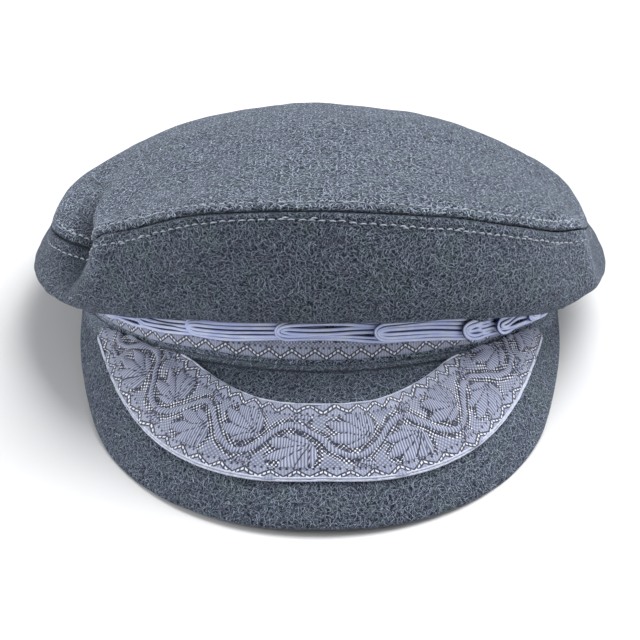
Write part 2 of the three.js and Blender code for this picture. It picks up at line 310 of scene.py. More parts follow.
def lengths(points, axis):
    """The distance gone along rows (axis 1) or columns (axis 0) of a grid."""
    step = np.linalg.norm(np.diff(points, axis=axis), axis=-1)
    return np.insert(np.cumsum(step, axis=axis), 0, 0, axis=axis)


def unevenness(points, wavelength, seed):
    """A soft random height from about -1 to 1, from a dozen waves in random directions."""
    random = np.random.default_rng(seed)
    total = np.zeros(points.shape[:-1])
    for direction in random.normal(size=(WAVES, 3)):
        wave = unit(direction) * random.uniform(0.6, 1.4) * 2 * np.pi / wavelength
        total += np.sin(points @ wave + random.uniform(0, 2 * np.pi))
    return total / WAVES_TOGETHER


def dress(piece, node, material):
    """Gives a finished piece its body, the CAD node that it stands for and material."""
    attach(piece, "root")
    if node:
        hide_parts(node)
    piece.data.materials.append(material)
    print(f"{piece.name}: {sum(len(p.vertices) - 2 for p in piece.data.polygons)} triangles")


# %% [markdown]
# ## A shorthand for materials
# A material here is a sum of many small recipes: fibres, weave, dashes, dots. Written as nodes,
# each plus and times is a box with wires. The two small classes below let a recipe be written as
# arithmetic instead, and they lay out the Math nodes themselves.

# %% Arithmetic that makes nodes
# A Mix node has sockets of the same names for numbers and vectors too, before those for colours.
FIRST_COLOUR, SECOND_COLOUR, MIXED_COLOUR = 6, 7, 2


def of_two(operation, swapped=False):
    """A method that lays out one Math node for two numbers."""
    def method(field, other):
        return field.recipe.math(operation, *((other, field) if swapped else (field, other)))
    return method


class Field:
    """A number that varies over a surface."""

    __add__ = __radd__ = of_two("ADD")
    __mul__ = __rmul__ = of_two("MULTIPLY")
    __sub__, __rsub__ = of_two("SUBTRACT"), of_two("SUBTRACT", swapped=True)
    __truediv__ = of_two("DIVIDE")
    most, least = of_two("MAXIMUM"), of_two("MINIMUM")

    def __init__(self, recipe, socket):
        self.recipe, self.socket = recipe, socket

    def distance_to(self, value):
        return self.recipe.math("ABSOLUTE", self - value)

    def wave(self):
        return self.recipe.math("SINE", self * (2 * math.pi))

    def fraction(self):
        return self.recipe.math("FRACT", self)

    def ease(self, low, high):
        """0 below low, 1 above high and smooth between. Low may be the greater."""
        node = self.recipe.node("ShaderNodeMapRange", interpolation_type="SMOOTHSTEP")
        self.recipe.feed(node.inputs["Value"], self)
        node.inputs["From Min"].default_value = low
        node.inputs["From Max"].default_value = high
        return Field(self.recipe, node.outputs["Result"])


class Recipe:
    """A material, with one Principled shader that the recipe's fields feed."""

    def __init__(self, name):
        self.material = bpy.data.materials.new(name)
        self.material.use_nodes = True
        self.tree = self.material.node_tree
        self.shader = self.tree.nodes["Principled BSDF"]

    def node(self, kind, **settings):
        made = self.tree.nodes.new(kind)
        for name, value in settings.items():
            setattr(made, name, value)
        return made

    def feed(self, socket, value):
        """Links a field or a socket, or sets a number, a vector or a colour of three shares."""
        if isinstance(value, Field):
            value = value.socket
        if isinstance(value, bpy.types.NodeSocket):
            self.tree.links.new(value, socket)
        else:
            socket.default_value = (*value, 1) if socket.type == "RGBA" else value

    def math(self, operation, *values):
        node = self.node("ShaderNodeMath", operation=operation)
        for socket, value in zip(node.inputs, values):
            self.feed(socket, value)
        return Field(self, node.outputs[0])

    def vector(self, operation, first, second=None):
        node = self.node("ShaderNodeVectorMath", operation=operation)
        self.feed(node.inputs[0], first)
        if second is not None:
            self.feed(node.inputs["Scale"] if operation == "SCALE" else node.inputs[1], second)
        return node.outputs[0]

    def dot(self, first, second):
        node = self.vector("DOT_PRODUCT", first, second).node
        return Field(self, node.outputs["Value"])

    def place(self):
        """Where a point of the piece is, in millimetres."""
        node = self.node("ShaderNodeTexCoord")
        return self.vector("SCALE", node.outputs["Object"], 1 / MM)

    def weave(self):
        """How far along and across its cloth a point is, in millimetres."""
        node = self.node("ShaderNodeTexCoord")
        split = self.node("ShaderNodeSeparateXYZ")
        self.feed(split.inputs[0], node.outputs["UV"])
        return Field(self, split.outputs["X"]), Field(self, split.outputs["Y"])

    def noted(self, name):
        node = self.node("ShaderNodeAttribute", attribute_name=name)
        return Field(self, node.outputs["Fac"])

    def noise(self, place, size, detail=1.0, colour=False):
        """Soft noise whose lumps are about size millimetres across."""
        node = self.node("ShaderNodeTexNoise")
        self.feed(node.inputs["Vector"], place)
        node.inputs["Scale"].default_value = 1 / size
        node.inputs["Detail"].default_value = detail
        return node.outputs["Color"] if colour else Field(self, node.outputs[0])

    def mix(self, share, first, second):
        """A colour between two."""
        node = self.node("ShaderNodeMix", data_type="RGBA")
        self.feed(node.inputs["Factor"], share)
        self.feed(node.inputs[FIRST_COLOUR], first)
        self.feed(node.inputs[SECOND_COLOUR], second)
        return node.outputs[MIXED_COLOUR]

    def bump(self, height, depth):
        """Relief of that depth in millimetres, where height is from 0 to 1."""
        node = self.node("ShaderNodeBump")
        node.inputs["Distance"].default_value = depth * MM
        self.feed(node.inputs["Height"], height)
        return node.outputs["Normal"]

    def finish(self, colour, normal=None, **constants):
        """Sets the shader: a colour, a relief and plain numbers."""
        self.feed(self.shader.inputs["Base Color"], colour)
        if normal:
            self.feed(self.shader.inputs["Normal"], normal)
        for name, value in constants.items():
            name = name.replace("_", " ").title().replace("Ior", "IOR")
            self.shader.inputs[name].default_value = value
        return self.material


# %% [markdown]
# ## Felt
# Milled wool is a dark ground with paler hairs lying on it in every direction, each a few
# millimetres long and crooked. Close up it is patchy too, because the wool was dyed before it was
# spun. On ridges that a piece notes, ground and hairs get a painted highlight, and in its crevices
# a painted shade. Noise alone looks like stone. Here a random scatter cuts the cloth into small
# cells, and each cell holds one hair that runs its own way. Four scatters lie on top of each other,
# and a soft noise bends them all, so that no hair is straight.

# %% Hairs
EVEN_CHANCE = (0.5, 0.5, 0.5)
NEXT_SCATTER = (13.1, 7.3, 19.7)
BEND_SIZE, BEND = 0.6, 0.55


def times(share, colour):
    """A colour, or three numbers, each made greater or less."""
    return tuple(share * x for x in colour)


def hairs(recipe, place, size, width, seed):
    """One hair in each cell of a scatter: how much a place is on it, from 0 to its own tone."""
    facing = recipe.node("ShaderNodeTexCoord").outputs["Normal"]
    bend = recipe.vector("SUBTRACT", recipe.noise(place, BEND_SIZE * size, colour=True), EVEN_CHANCE)
    bent = recipe.vector("ADD", place, recipe.vector("SCALE", bend, BEND * size))
    bent = recipe.vector("ADD", bent, times(seed, NEXT_SCATTER))
    cells = recipe.node("ShaderNodeTexVoronoi")
    recipe.feed(cells.inputs["Vector"], bent)
    cells.inputs["Scale"].default_value = 1 / size
    from_middle = recipe.vector("SUBTRACT", bent, cells.outputs["Position"])
    chance = recipe.vector("SUBTRACT", cells.outputs["Color"], EVEN_CHANCE)
    run = recipe.vector("NORMALIZE", recipe.vector("CROSS_PRODUCT", chance, facing))
    beside = recipe.vector("CROSS_PRODUCT", facing, run)
    on_line = recipe.dot(from_middle, beside).distance_to(0).ease(width, 0.35 * width)
    length = recipe.dot(from_middle, run).distance_to(0).ease(0.8 * size, 0.55 * size)
    tone = recipe.dot(cells.outputs["Color"], (0.8, 0, 0)) + 0.2
    return on_line * length * tone


# %% Heathered felt
HAIR_SIZES = (2.9, 2.3, 1.8, 1.4)
HAIR_WIDTH = 0.097
PATCH_SIZE, MOSSY_PATCH_SIZE, GRAIN_SIZE = 6, 11, 0.8
BETWEEN_HAIRS, BLUE, VIOLET = (0.013, 0.018, 0.030), (0.086, 0.111, 0.148), (0.083, 0.089, 0.134)
# The third colour here and the first number on the next line paint a highlight on ridges.
MOSS, HAIR, HIGHLIGHT_GROUND = (0.086, 0.118, 0.128), (0.53, 0.62, 0.76), (0.34, 0.41, 0.50)
HIGHLIGHT_HAIR, PALEST = 1.7, 0.95


def felt(name, tone, coarse=1.0, hairy=1.0):
    """Heathered felt: how light it is, how large its hairs are and how much they stand out."""
    recipe = Recipe(name)
    place = recipe.place()
    hair = 0
    for seed, size in enumerate(HAIR_SIZES, 1):
        layer = hairs(recipe, place, size * coarse, HAIR_WIDTH * coarse, seed)
        hair = layer.most(hair)
    patches = recipe.noise(place, PATCH_SIZE, detail=3).ease(0.35, 0.65)
    mossy = recipe.noise(place, MOSSY_PATCH_SIZE, detail=2).ease(0.48, 0.68)
    grain = recipe.noise(place, GRAIN_SIZE * coarse, detail=2)
    dark, pale = times(tone, BETWEEN_HAIRS), times(tone * hairy, HAIR)
    paler = times(min(HIGHLIGHT_HAIR, PALEST / pale[2]), pale)
    ground = recipe.mix(patches, times(tone, BLUE), times(tone, VIOLET))
    ground = recipe.mix(mossy, ground, times(tone, MOSS))
    ground = recipe.mix(grain.ease(0.58, 0.40), ground, dark)
    # Painted highlight on noted ridges, then painted shade in noted crevices.
    ground = recipe.mix(recipe.noted("ridge") * 0.2, ground, times(tone, HIGHLIGHT_GROUND))
    colour = recipe.mix(hair, ground, recipe.mix(recipe.noted("ridge"), pale, paler))
    colour = recipe.mix(recipe.noted("crevice") * 0.85, colour, dark)
    relief = recipe.bump(hair * 0.8 + 0.5 * grain, 0.25)
    return recipe.finish(
        colour, relief, roughness=0.95, sheen_weight=0.1, sheen_roughness=0.5,
        sheen_tint=(0.75, 0.82, 1, 1), specular_ior_level=0.1,
    )


# The band's tone is far above the others: painted light that lifts the shade under the hem.
TOP_FELT = felt("heathered felt, top of the crown", tone=0.50, coarse=1.1, hairy=2.25)
SIDE_FELT = felt("heathered felt, side of the crown", tone=0.58, hairy=1.25)
LIGHTENED_BAND_FELT = felt("heathered felt, band", tone=1.35)
PEAK_FELT = felt("heathered felt, peak", tone=0.77)


# %% [markdown]
# ## The crown's side panel
# The side panel rises from the band, swells out over it, hangs down round it as a soft hem, and
# turns in to the seam at the top. A section is a smooth curve through nine points that the crown's
# table gives at that bearing. Folds are pressed in where the cloth has slumped: a fold is steep on
# the side that stands proud and shallow on the side that sinks under it.

# %% Folds
FOLDS = table("bearing top_lean side_lean left right depth ridge overlap top_reach side_reach", [
    (-61, -130, 3, 10, 4.6, 11, 3.4, 4, 0.29, 0.40),
    (66, 0, -8, 5, 5, -3, 0, 0, 0.12, 0.6),
    (-128, 6, 6, 14, 14, 3, 0.3, 0, 0.3, 0.6),
    (136, -8, -8, 15, 15, 3, 0.3, 0, 0.3, 0.6),
    (178, 4, 4, 18, 18, 1.5, 0, 0, 0.25, 0.5),
])


def fold_shape(bearing, height):
    """How deep the folds press, and how far their right sides lean over them, in mm."""
    depth = np.zeros(np.broadcast_shapes(np.shape(bearing), np.shape(height)))
    lean = np.zeros_like(depth)
    on_top = height > 0
    for fold in rows_of(FOLDS):
        fade = smooth(1 - np.abs(height) / np.where(on_top, fold["top_reach"], fold["side_reach"]))
        turn = np.where(on_top, fold["top_lean"], fold["side_lean"]) * height
        aside = (bearing - fold["bearing"] - turn + 540) % 360 - 180
        wider = 1 + 0.5 * smooth(height / 0.08)
        right = fold["right"] * wider
        width = np.where(aside > 0, right, fold["left"] * wider)
        depth += fold["depth"] * fade * bell(aside / width)
        depth -= fold["ridge"] * fade * bell((aside - 2.3 * right) / right)
        lean += fold["overlap"] * fade * bell((aside - 1.5 * right) / (1.1 * right))
    return depth, lean


def pressed(points, bearing, height):
    """Pulls points of the crown in towards the cap's upright axis, and down, where a fold is."""
    depth, lean = (x[..., None] for x in fold_shape(bearing, height))
    inward = unit(points * (-1, -1, 0))
    leftward = np.stack([-inward[..., 1], inward[..., 0], 0 * inward[..., 0]], -1)
    return points + depth * inward - lean * leftward + depth * (0, 0, -0.5)


# %% The panel's surface
def side_panel(bearing, height):
    """The side panel's outer face: height 0 at its foot on the band and 1 at the seam."""
    column = {name: read(CROWN, name, bearing[0]) for name in CROWN}
    hem_out, hem_up = column["hem_out"], column["hem_up"]
    belly_out, belly_up = column["belly_out"], column["belly_up"]
    seam_out, seam_up = column["seam_out"], column["seam_up"]
    foot = band_edge(bearing[0]) + BAND_HEIGHT + GAP
    at_side = np.sin(np.radians(bearing[0])) ** 4
    profile = np.array([
        (-0.4 + 0 * foot, foot),
        (1.2 + 0 * foot, foot + 1.4),
        (0.42 * hem_out, foot),
        (0.8 * hem_out, 0.45 * foot + 0.55 * hem_up),
        (hem_out, hem_up),
        (belly_out - 1, 0.6 * hem_up + 0.4 * belly_up),
        (belly_out, belly_up),
        (0.5 * (belly_out + seam_out) + 0.6 - 1.6 * at_side, 0.45 * belly_up + 0.55 * seam_up),
        (seam_out, seam_up),
    ])
    last = len(profile) - 1
    knot = np.clip(np.floor(height * last).astype(int), 0, last - 1).ravel()
    t = (height * last).ravel()[:, None, None] - knot[:, None, None]
    before, after = profile[np.maximum(knot - 1, 0)], profile[np.minimum(knot + 2, last)]
    start, end = profile[knot], profile[knot + 1]
    leave, arrive = (end - before) / 2, (after - start) / 2
    curve = start + t * leave + t**2 * (3 * (end - start) - 2 * leave - arrive)
    curve += t**3 * (2 * (start - end) + leave + arrive)
    points = beside_band(bearing, curve[:, 0], curve[:, 1])
    return pressed(points, bearing, height - 1)


# %% [markdown]
# ## The seam and its two rows of stitches
# The two panels are sewn face to face and turned out, so both edges roll down into the seam, and
# a row of long stitches runs beside it on each panel to hold the layers flat. The thread pulls a
# shallow channel into the felt and puffs it up between the channel and the seam.

# %% What the seam does to the cloth near it
STITCH_PITCH = 3.6
STITCH_INSET = 4.2


def seam_shows(bearing):
    """How sharp the seam is: whole in front, and sunk into the felt behind both corners."""
    return 1 - 0.85 * smooth((np.abs(bearing + 8) - 64) / 11)


def side_inset(bearing):
    """The lower row's way from the seam in mm. It comes nearest a little to the left of the front."""
    return STITCH_INSET * (1 - 0.45 * bell((bearing + 10) / 20))


def seam_relief(from_seam, along_seam, inset):
    """Height in mm that the seam gives the cloth, at a distance from it and along it."""
    roll = -0.9 * bell(from_seam / 0.5)
    puff = 0.35 * bell((from_seam - 0.5 * inset) / 1.2)
    pull = 0.7 - 0.3 * np.cos(2 * np.pi * along_seam / STITCH_PITCH)
    channel = -0.35 * pull * bell((from_seam - inset) / 0.7)
    return roll + puff + channel


COLUMNS, SIDE_ROWS, TOP_ROWS = 540, 60, 58
TOWARDS_SEAM, BESIDE_SEAM = 1.8, 0.002
bearings = np.linspace(-180, 180, COLUMNS, endpoint=False)[None, :]


def crown_piece(panel, heights, at_seam, inset):
    """One crown panel: points, each one's way from the seam, and painted shade and highlight notes."""
    points = panel(bearings, heights)
    seam_row = -1 if at_seam == 1 else 0
    across = lengths(points, 0)
    from_seam = np.abs(across - across[seam_row])
    along_seam = lengths(closed(points[[seam_row]]), 1)[:, :-1]
    out = outward(points)
    height = seam_relief(from_seam, along_seam, inset) * seam_shows(bearings)
    height += 0.45 * unevenness(points, wavelength=55, seed=3) * smooth(from_seam / 14)
    height += 0.15 * unevenness(points, wavelength=13, seed=4) * smooth(from_seam / 6)
    points = points + height[..., None] * out
    depth = fold_shape(bearings, heights - at_seam)[0]
    # Painted shade in the seam and deep in folds; painted highlight on raised fold crests.
    crevice = 0.72 * bell(from_seam / 0.45) * seam_shows(bearings)
    crevice = np.minimum(crevice + 0.75 * smooth((depth - 1.8) / 7), 1)
    ridge = 0.6 * smooth((-0.8 - depth) / 2)
    return points, from_seam, {"crevice": closed(crevice), "ridge": closed(ridge)}


side_heights = (1 - BESIDE_SEAM) * (1 - np.linspace(1, 0, SIDE_ROWS)[:, None] ** TOWARDS_SEAM)
side_points, side_from_seam, notes = crown_piece(side_panel, side_heights, 1, side_inset(bearings))
crown_side = cloth("crown_side_felt", closed(side_points), FELT_WALL, **notes)
dress(crown_side, "crown_side", SIDE_FELT)

# %% [markdown]
# ## The crown's top panel
# The top panel is one big oval of felt. It is highest at the front, where it is stiffened by the
# seam behind the peak, and slumps to the sides and the back. Seen from above it is a disc, so the
# grid goes round it and in to the crest, where all columns meet in one corner and are merged.

# %% Top panel
DIMPLES = table("x y radius depth", [
    (-9, -74, 7, 0.9),
    (8, -75, 6, 0.8),
    (30, -62, 11, 0.7),
    (-42, -58, 12, 0.8),
    (55, -30, 13, 0.9),
    (-20, -40, 10, 0.6),
])


def top_panel(bearing, height):
    """The top panel's outer face: height 0 at the seam and 1 at the crest."""
    column = {name: read(CROWN, name, bearing) for name in ("seam_out", "seam_up", "shoulder")}
    seam = beside_band(bearing, column["seam_out"], column["seam_up"])
    out = 1 - height
    rise = CREST_UP - column["shoulder"] - column["seam_up"]
    up = column["seam_up"] + rise * (1 - out**CREST_SHARPNESS)
    up = up + column["shoulder"] * (1 - out**EDGE_POWER) ** EDGE_ROUND
    x = seam[..., 0] * out
    y = CREST_BACK + (seam[..., 1] - CREST_BACK) * out
    for dimple in rows_of(DIMPLES):
        away = np.hypot(x - dimple["x"], y - dimple["y"])
        up = up - dimple["depth"] * bell(away / dimple["radius"])
    return pressed(np.stack([x, y, up], -1), bearing, height)


top_heights = BESIDE_SEAM + (1 - BESIDE_SEAM) * np.linspace(0, 1, TOP_ROWS)[:, None] ** TOWARDS_SEAM
top_points, top_from_seam, notes = crown_piece(top_panel, top_heights, 0, STITCH_INSET)
top_points[-1] = top_points[-1].mean(0)
crown_top = cloth("crown_top_felt", closed(top_points), FELT_WALL, **notes)
dress(crown_top, "crown_top", TOP_FELT)

# %% [markdown]
# ## Stitches
# A stitch is a short length of thread that comes up out of the felt, lies on it and goes down
# again. One is modelled as a slim ball, bent down and a little aside at both ends, and copied
# along the two rows. Hand guided stitches are never quite even, so each copy is turned and moved
# a little, and here and there the thread has been sewn over twice.

# %% One stitch, and a way to copy it
def model_of(piece):
    """The corners and faces of an object, which is then removed."""
    corners = np.array([v.co for v in piece.data.vertices])
    faces = [tuple(p.vertices) for p in piece.data.polygons]
    bpy.data.objects.remove(piece)
    return corners, faces


def copies(name, model, origins, axes):
    """One joined mesh: the model at each origin, along its own three axes."""
    corners, faces = model
    placed = origins[:, None] + np.einsum("vi,nij->nvj", corners, axes)
    every = [tuple(i + n * len(corners) for i in face) for n in range(len(origins)) for face in faces]
    mesh = bpy.data.meshes.new(name)
    mesh.from_pydata(lying(placed).reshape(-1, 3), [], every)
    piece = bpy.data.objects.new(name, mesh)
    scene.collection.objects.link(piece)
    select(piece)
    bpy.ops.object.shade_smooth()
    return piece


HALF_STITCH, STITCH_BEND = 1.35, 0.2
UNEVEN, TURNED = 0.12, 0.05
SEWN_TWICE, BESIDE = 0.14, 0.6
bpy.ops.mesh.primitive_uv_sphere_add(segments=8, ring_count=7, radius=1)
stitch = bpy.context.object
edit_all(
    stitch,
    lambda: bpy.ops.transform.rotate(value=math.pi / 2, orient_axis="Y", center_override=(0, 0, 0)),
    lambda: bpy.ops.transform.resize(value=(HALF_STITCH, 0.26, 0.27)),
)
for vertex in stitch.data.vertices:
    vertex.co.z += 0.4 - STITCH_BEND * vertex.co.x**2
    vertex.co.y -= STITCH_BEND * vertex.co.x**2
STITCH = model_of(stitch)


def row_beside_seam(points, from_seam, inset):
    """A line on a panel beside the seam: its points, the way out there, and how sharp the seam is."""
    out = outward(points)
    both = np.concatenate([points, out], -1)
    order = 1 if from_seam[-1, 0] > from_seam[0, 0] else -1
    inset = np.broadcast_to(inset, COLUMNS)
    line = []
    for i in range(COLUMNS):
        where = np.interp(inset[i], from_seam[::order, i], np.arange(len(points))[::order])
        low = int(np.clip(math.floor(where), 0, len(points) - 2))
        line.append(both[low, i] + (where - low) * (both[low + 1, i] - both[low, i]))
    return np.hstack([line, seam_shows(bearings).T])


def stitches(name, line, seed):
    """Stitches along a closed line of points and outward directions."""
    random = np.random.default_rng(seed)
    line = np.concatenate([line, line[:1]])
    along = lengths(line[None, :, :3], 1)[0]
    count = int(along[-1] / STITCH_PITCH)
    at = (np.arange(count) + 0.5) * along[-1] / count + random.normal(0, UNEVEN, count)
    twice = random.random(count) < SEWN_TWICE
    at = np.concatenate([at, at[twice] + random.uniform(0.5, 1.6, twice.sum())])
    middle, ahead = (
        np.array([np.interp(x % along[-1], along, column) for column in line.T]).T for x in (at, at + 0.5)
    )
    out = unit(middle[:, 3:6])
    side = unit(np.cross(out, ahead[:, :3] - middle[:, :3]))
    run = np.cross(side, out) + random.normal(0, TURNED, (len(at), 1)) * side
    shift = random.normal(0, UNEVEN, (len(at), 1))
    shift[count:] += random.choice([-BESIDE, BESIDE], (len(at) - count, 1))
    raised = 0.10 - 0.7 * (1 - middle[:, 6:]) - UNEVEN * random.random((len(at), 1))
    origins = middle[:, :3] + raised * out + shift * side
    stretch = random.uniform(0.85, 1.1, (len(at), 1))
    return copies(name, STITCH, origins, np.stack([run * stretch, side, out], 1))


# %% Thread, and the two rows
def thread(name, colour):
    """Twisted cotton thread."""
    recipe = Recipe(name)
    place = recipe.place()
    dust = recipe.noise(place, 1.2, detail=2)
    tint = recipe.mix(dust.ease(0.3, 0.7), times(0.72, colour), colour)
    fuzz = recipe.bump(recipe.noise(place, 0.25, detail=1), 0.1)
    return recipe.finish(tint, fuzz, roughness=0.7, sheen_weight=0.2, specular_ior_level=0.3)


STITCH_THREAD = thread("pale blue-grey thread", (0.43, 0.475, 0.55))
top_line = row_beside_seam(top_points, top_from_seam, STITCH_INSET)
side_line = row_beside_seam(side_points, side_from_seam, side_inset(bearings[0]))
upper = stitches("seam_stitches_top", top_line, 11)
lower = stitches("seam_stitches_side", side_line, 12)
for row in (upper, lower):
    dress(row, None, STITCH_THREAD)

# %% [markdown]
# ## The headband
# An upright ring of double felt that sits on the head. Its lower edge is a fold, so the section
# has round corners, and it is drawn as one closed loop that goes out, up, in and down again.

# %% Headband
def loop_section(width, height, corner, steps):
    """A closed loop round a rectangle with round corners: x from 0 in to width, y up from 0."""
    turns = np.linspace(0, np.pi / 2, steps)
    centres = [(width - corner, corner, -0.5), (width - corner, height - corner, 0),
               (corner, height - corner, 0.5), (corner, corner, 1)]
    points = [(x + corner * np.cos(np.pi * start + turns), y + corner * np.sin(np.pi * start + turns))
              for x, y, start in centres]
    loop = np.concatenate([np.array(p).T for p in points])
    return np.concatenate([loop, loop[:1]])


def rows_between(loop, spacing):
    """Adds points to the long straight stretches of a loop."""
    along = lengths(loop, 0)
    extra = np.arange(0, along[-1], spacing)
    at = np.unique(np.round(np.concatenate([along, extra]), 3))
    return np.array([np.interp(at, along, loop[:, k]) for k in range(2)]).T


section = rows_between(loop_section(BAND_WALL, BAND_HEIGHT, corner=1.2, steps=5), spacing=2)
band_points = beside_band(
    bearings[:, ::2], section[:, :1] - BAND_WALL, band_edge(bearings[:, ::2]) + section[:, 1:]
)
headband = cloth("headband_felt", closed(band_points))
dress(headband, "headband", LIGHTENED_BAND_FELT)

# %% [markdown]
# ## The peak
# A board cut to a crescent, curved down and covered in felt on both sides. Each section is an arc
# that leaves the band at one slope and reaches the rim at another. The felt wraps round the
# board, so the loop goes over the top, round the rim and back underneath.

# %% Peak
def peak_middle(bearing, across):
    """The peak's middle layer: across is 0 at the root and 1 at the rim."""
    root_fall = np.radians(read(PEAK, "root_fall", bearing))
    turn = np.radians(read(PEAK, "rim_fall", bearing)) - root_fall
    radius = read(PEAK, "reach", bearing) / turn
    forward = radius * (np.sin(root_fall + turn * across) - np.sin(root_fall))
    drop = radius * (np.cos(root_fall) - np.cos(root_fall + turn * across))
    heading = np.radians(read(PEAK, "heading", bearing) * np.sign(bearing))
    root = beside_band(bearing, GAP, band_edge(bearing) + PEAK_ROOT_UP - 0.5 * PEAK_THICKNESS)
    run = np.stack([forward * np.sin(heading), -forward * np.cos(heading), -drop], -1)
    return root + run


def above_peak(bearing, across, height):
    """A point above the middle layer. At the root the peak's edge stands upright on the band."""
    inside = np.clip(across, 0.02, 0.98)
    along = peak_middle(bearing + 0.5, inside) - peak_middle(bearing - 0.5, inside)
    down = peak_middle(bearing, inside + 0.01) - peak_middle(bearing, inside - 0.01)
    share = smooth(across / 0.12)[..., None]
    up = unit(share * unit(np.cross(down, along)) + (1 - share) * (0, 0, 1))
    return peak_middle(bearing, across) + up * np.asarray(height)[..., None]


def peak_loop():
    """Across, height and how far past the rim, for each row of the loop round the board."""
    half = PEAK_THICKNESS / 2
    top = np.concatenate([np.linspace(0, 0.08, 11)[:-1], np.linspace(0.08, 1, 40)])
    rim = np.linspace(0, np.pi, 9)[1:-1]
    under = np.linspace(1, 0, 18)
    across = np.concatenate([top, np.ones(len(rim)), under, [0]])
    height = np.concatenate([half + 0 * top, half * np.cos(rim), -half + 0 * under, [half]])
    beyond = np.concatenate([0 * top, 0.9 * half * np.sin(rim), 0 * under, [0]])
    return across[:, None], height[:, None], beyond[:, None]


PEAK_COLUMNS = 250
CREASE = 2.9
peak_bearings = np.linspace(PEAK_END, -PEAK_END, PEAK_COLUMNS)[None, :]
across, height, beyond = peak_loop()
thinner = np.minimum(1, 0.72 + 3.5 * (1 - across))
short = 1 - 0.45 * PEAK_THICKNESS / read(PEAK, "reach", peak_bearings)
peak_points = above_peak(peak_bearings, across * short, height * thinner + 0 * peak_bearings)
rim_run = unit(peak_middle(peak_bearings, 1.0) - peak_middle(peak_bearings, 0.97))
peak_points = peak_points + beyond[..., None] * rim_run
free = smooth(across / 0.2)[..., None]
rise = 0.18 * unevenness(peak_points, wavelength=16, seed=8)
peak_points = peak_points + rise[..., None] * (0, 0, 1) * free
from_root = across * read(PEAK, "reach", peak_bearings)
in_front = smooth((42 - np.abs(peak_bearings)) / 14)
# Painted shade along the crease and softly around it in front; painted highlight by the band.
crevice = bell((from_root - CREASE) / 0.55) + 0.16 * bell((from_root - CREASE) / 9)
crevice = np.minimum(in_front * crevice * (height > 0), 1)
peak = cloth("peak_felt", peak_points, crevice=crevice, ridge=1.6 * bell(from_root / 3) * (height > 0))
close_ends(peak)
dress(peak, "peak", PEAK_FELT)

# %% [markdown]
# ## The woven ribbon
# A jacquard ribbon: a dark ground with a check of light dots, and a vine with lobed leaves made
# of long floating threads that stand up from it. Both edges have a dashed zigzag and a smooth
# selvedge. The vine and the leaves are drawn as distances, in millimetres from each outline, on
# the ribbon's flat length and width. The mesh is raised where a float is, and the material reads
# the same distances for its colours, so the relief and the pattern agree.

# %% The vine's design
VINE_PERIOD = 40
VINE_SWING = 6.0
VINE_WIDTH = 2.2
VINE_CLEARANCE = 0.9
NOWHERE = -9.0
FINGERS = table("turn length width", [
    (-62, 8, 2.0), (-39, 11.5, 2.4), (-15, 14.5, 2.6), (9, 15.5, 2.6), (33, 14.5, 2.3), (56, 9, 1.8),
])
LEAVES = table("along across heading size", [(4, 13.2, -30, 1.05), (30, 6.2, 176, 0.45)])


def leaf(x, y, along, across, heading, size):
    """A leaf of fingers spread from a base at along, across: mm inside it, and its grooves."""
    x, y = x - along, y - across
    insides = []
    for finger in rows_of(FINGERS):
        angle = math.radians(heading + finger["turn"])
        ahead = x * math.cos(angle) + y * math.sin(angle)
        aside = y * math.cos(angle) - x * math.sin(angle)
        gone = np.clip(ahead / (finger["length"] * size), 0, 1)
        half = finger["width"] * size * np.sin(np.pi * gone**0.8) ** 0.7
        insides.append(np.where((gone > 0) & (gone < 1), half - np.abs(aside), NOWHERE))
    second, first = np.sort(np.stack(insides), axis=0)[-2:]
    return first, bell((first - second) / 0.55) * (second > -0.5)


def vine_design(along, across, width, margin):
    """How far in mm each place is inside the vine or a leaf, and how deep in a leaf's groove."""
    phase = 2 * np.pi * along / VINE_PERIOD
    line = width / 2 + VINE_SWING * np.sin(phase)
    steep = np.sqrt(1 + (2 * np.pi * VINE_SWING / VINE_PERIOD * np.cos(phase)) ** 2)
    vine = VINE_WIDTH / 2 - np.abs(across - line) / steep
    leaves, grooves = np.full(np.shape(vine), NOWHERE), np.zeros(np.shape(vine))
    for turn in (0, 1):
        side = width - across if turn else across
        for base in rows_of(LEAVES):
            first = base["along"] - VINE_PERIOD / 2
            place = (along + turn * VINE_PERIOD / 2 - first) % VINE_PERIOD + first
            inside, groove = leaf(place, side, **base)
            inside = np.minimum(inside, -vine - VINE_CLEARANCE)
            grooves = np.where(inside > leaves, groove, grooves)
            leaves = np.maximum(leaves, inside)
    clear = np.minimum(across, width - across) > margin
    return np.where(clear, vine, NOWHERE), np.where(clear, leaves, NOWHERE), grooves


# %% The ribbon's material
THREAD_PITCH, PIN_PITCH, HOLE_PITCH, RULE_PITCH = 1.02, 1.5, 1.9, 2.05
ZIGZAG_PITCH, DASH_PITCH = 8.2, 1.37


